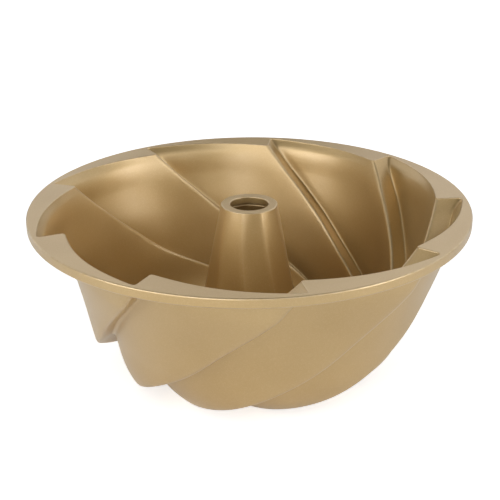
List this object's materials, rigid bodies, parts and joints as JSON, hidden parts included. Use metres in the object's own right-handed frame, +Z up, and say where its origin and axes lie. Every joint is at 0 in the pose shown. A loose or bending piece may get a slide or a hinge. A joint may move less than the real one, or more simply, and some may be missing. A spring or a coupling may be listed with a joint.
{
  "type": "fluted tube cake pan",
  "caption": "Round cast cake pan with swirled flutes, a flat scalloped rim and a hollow faceted centre tube.",
  "frame": {"origin": "centre of the circle that the pan stands on, on the axis of the tube, at the lowest points of the nine flutes", "axes": "+Z up along the tube, out of the open mouth; +X to the right and -Y towards a person standing in front"},
  "size_m": [0.27, 0.27, 0.1062],
  "materials": {
    "coated_casting": "champagne-gold non-stick coating with a fine metallic sparkle, satin, baked on cast aluminium"
  },
  "bodies": {
    "root": {"rim_flange": "coated_casting", "flute_1": "coated_casting", "flute_2": "coated_casting", "flute_3": "coated_casting", "flute_4": "coated_casting", "flute_5": "coated_casting", "flute_6": "coated_casting", "flute_7": "coated_casting", "flute_8": "coated_casting", "flute_9": "coated_casting", "centre_tube": "coated_casting"}
  },
  "joints": []
}
